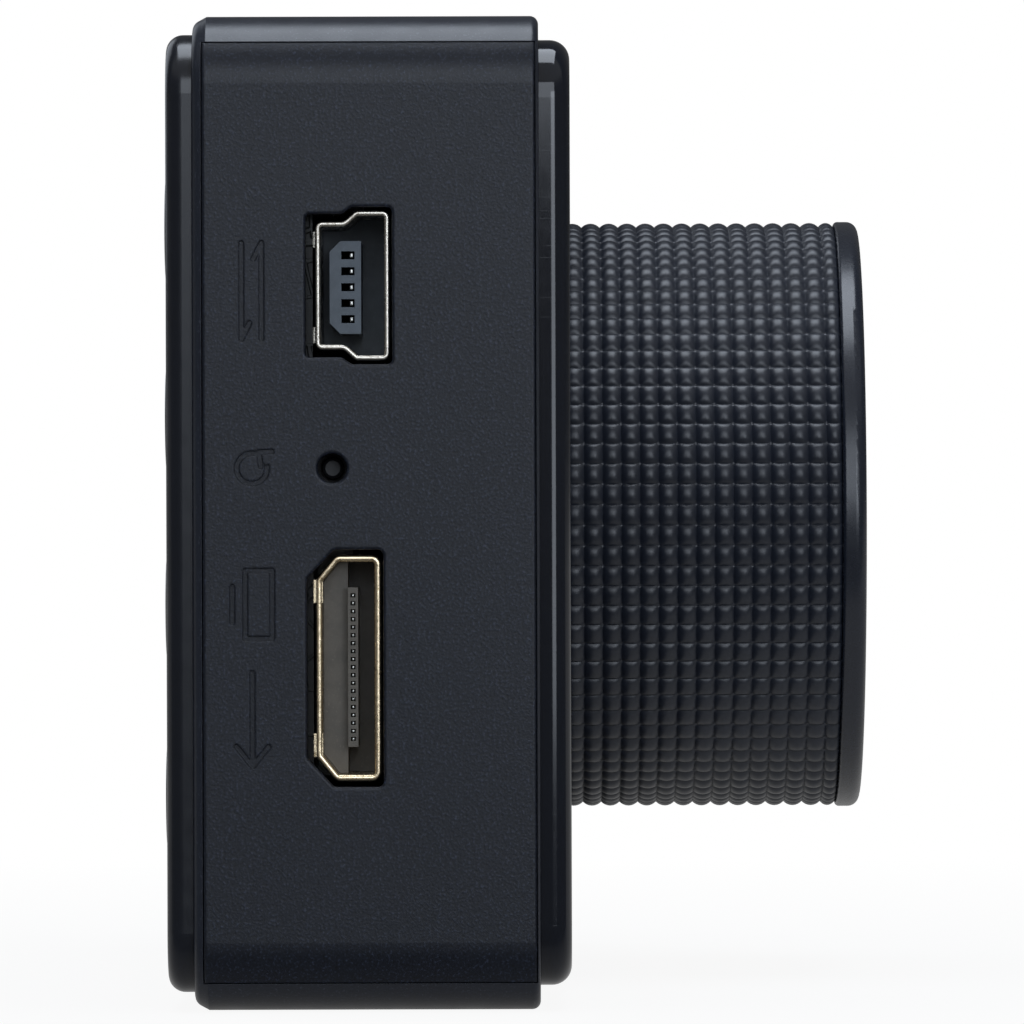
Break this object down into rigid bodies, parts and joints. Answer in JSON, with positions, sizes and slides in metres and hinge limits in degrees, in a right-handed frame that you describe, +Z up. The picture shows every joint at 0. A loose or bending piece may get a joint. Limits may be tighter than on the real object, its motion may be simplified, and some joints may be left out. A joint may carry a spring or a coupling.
{
  "type": "action camera",
  "caption": "Box-bodied action camera with a knurled turning lens barrel, glossy covers, rear screen and keys, ports in one side and a tripod socket in the base.",
  "frame": {"origin": "mouth of the tripod socket, in the middle of the base", "axes": "+Z up, the lens looks along -Y, the side with the ports faces -X"},
  "size_m": [0.0822, 0.0366, 0.0506],
  "materials": {
    "shell_plastic": "satin moulded plastic, navy black",
    "panel_plastic": "fine spark-eroded grain, navy black",
    "cover_plastic": "high gloss, near black",
    "key_plastic": "satin gloss",
    "inner_plastic": "plain black moulding",
    "window_glass": "flat polished cover glass",
    "lens_glass": "coated optical glass",
    "display": "unlit liquid crystal display",
    "board": "solder-masked glass epoxy",
    "chip": "moulded chip package",
    "tinned_steel": "tinned sheet steel",
    "nickel_shell": "nickel-plated sheet",
    "gold_shell": "gold-plated sheet",
    "port_insulator": "blue-grey moulding",
    "dark_insulator": "dark moulding",
    "contact_gold": "gold-plated contacts",
    "anodised": "dark anodised aluminium",
    "gloss_ring": "gloss dark coating",
    "black_rubber": "black rubber",
    "foam": "closed-cell foam",
    "brass_insert": "turned brass",
    "screw_steel": "black zinc-plated steel",
    "cell_foil": "pouch foil",
    "card_plastic": "black card moulding",
    "flex_film": "amber polyimide film",
    "pipe_clear": "clear acrylic"
  },
  "bodies": {
    "housing": {"center_shell": "shell_plastic", "port_side_panel": "panel_plastic", "card_side_panel": "panel_plastic", "front_cover": "cover_plastic", "rear_cover": "cover_plastic", "screen_window": "window_glass", "screen_gasket": "foam", "lcd_frame": "tinned_steel", "backlight_unit": "inner_plastic", "lcd_panel": "display", "lcd_flex": "flex_film", "main_board": "board", "processor": "chip", "shield_can": "tinned_steel", "memory_chip": "chip", "key_switches": "tinned_steel", "top_switches": "tinned_steel", "usb_shell": "nickel_shell", "usb_tongue": "port_insulator", "usb_contacts": "contact_gold", "hdmi_shell": "gold_shell", "hdmi_tongue": "dark_insulator", "hdmi_contacts": "contact_gold", "reset_switch": "inner_plastic", "card_socket": "tinned_steel", "battery": "cell_foil", "speaker": "inner_plastic", "microphone": "tinned_steel", "light_pipe": "pipe_clear", "sensor_board": "board", "board_connector": "inner_plastic", "image_sensor": "chip", "sensor_holder": "inner_plastic", "ir_filter": "lens_glass", "lens_tube": "anodised", "lens_mount_screws": "screw_steel", "friction_oring": "black_rubber", "front_ring": "gloss_ring", "front_glass": "lens_glass", "glass_seal": "black_rubber", "lens_baffle": "inner_plastic", "housing_screws": "screw_steel", "tripod_insert": "brass_insert"},
    "focus_ring": {"focus_ring": "anodised"},
    "lens_group": {"lens_cell": "anodised", "drive_pin": "screw_steel", "cell_retainer": "anodised", "front_element": "lens_glass", "second_element": "lens_glass", "rear_element": "lens_glass"},
    "record_button": {"record_button": "key_plastic"},
    "power_button": {"power_button": "key_plastic"},
    "key_menu": {"key_menu": "key_plastic"},
    "key_up": {"key_up": "key_plastic"},
    "key_down": {"key_down": "key_plastic"},
    "key_ok": {"key_ok": "key_plastic"},
    "reset_plunger": {"reset_plunger": "inner_plastic"},
    "memory_card": {"memory_card": "card_plastic"}
  },
  "joints": [
    {"name": "focus_turn", "type": "hinge", "parent": "housing", "child": "focus_ring", "pos_m": [0.0085, 0, 0.02487], "axis": [0, -1, 0], "range_deg": [-60, 60]},
    {"name": "lens_slide", "type": "slide", "parent": "housing", "child": "lens_group", "axis": [0, -1, 0], "range_m": [-0.0005, 0.0005]},
    {"name": "record_press", "type": "slide", "parent": "housing", "child": "record_button", "axis": [0, 0, -1], "range_m": [0, 0.0003], "stiffness_N_per_m": 400},
    {"name": "power_press", "type": "slide", "parent": "housing", "child": "power_button", "axis": [0, 0, -1], "range_m": [0, 0.0003], "stiffness_N_per_m": 400},
    {"name": "menu_press", "type": "slide", "parent": "housing", "child": "key_menu", "axis": [0, -1, 0], "range_m": [0, 0.0003], "stiffness_N_per_m": 400},
    {"name": "up_press", "type": "slide", "parent": "housing", "child": "key_up", "axis": [0, -1, 0], "range_m": [0, 0.0003], "stiffness_N_per_m": 400},
    {"name": "down_press", "type": "slide", "parent": "housing", "child": "key_down", "axis": [0, -1, 0], "range_m": [0, 0.0003], "stiffness_N_per_m": 400},
    {"name": "ok_press", "type": "slide", "parent": "housing", "child": "key_ok", "axis": [0, -1, 0], "range_m": [0, 0.0003], "stiffness_N_per_m": 400},
    {"name": "reset_press", "type": "slide", "parent": "housing", "child": "reset_plunger", "axis": [1, 0, 0], "range_m": [0, 0.00025], "stiffness_N_per_m": 300},
    {"name": "card_slide", "type": "slide", "parent": "housing", "child": "memory_card", "axis": [1, 0, 0], "range_m": [-0.0006, 0.012]}
  ],
  "couplings": [
    {"joint": "lens_slide", "follows": "focus_turn", "m_per_rad": 0.000477}
  ]
}
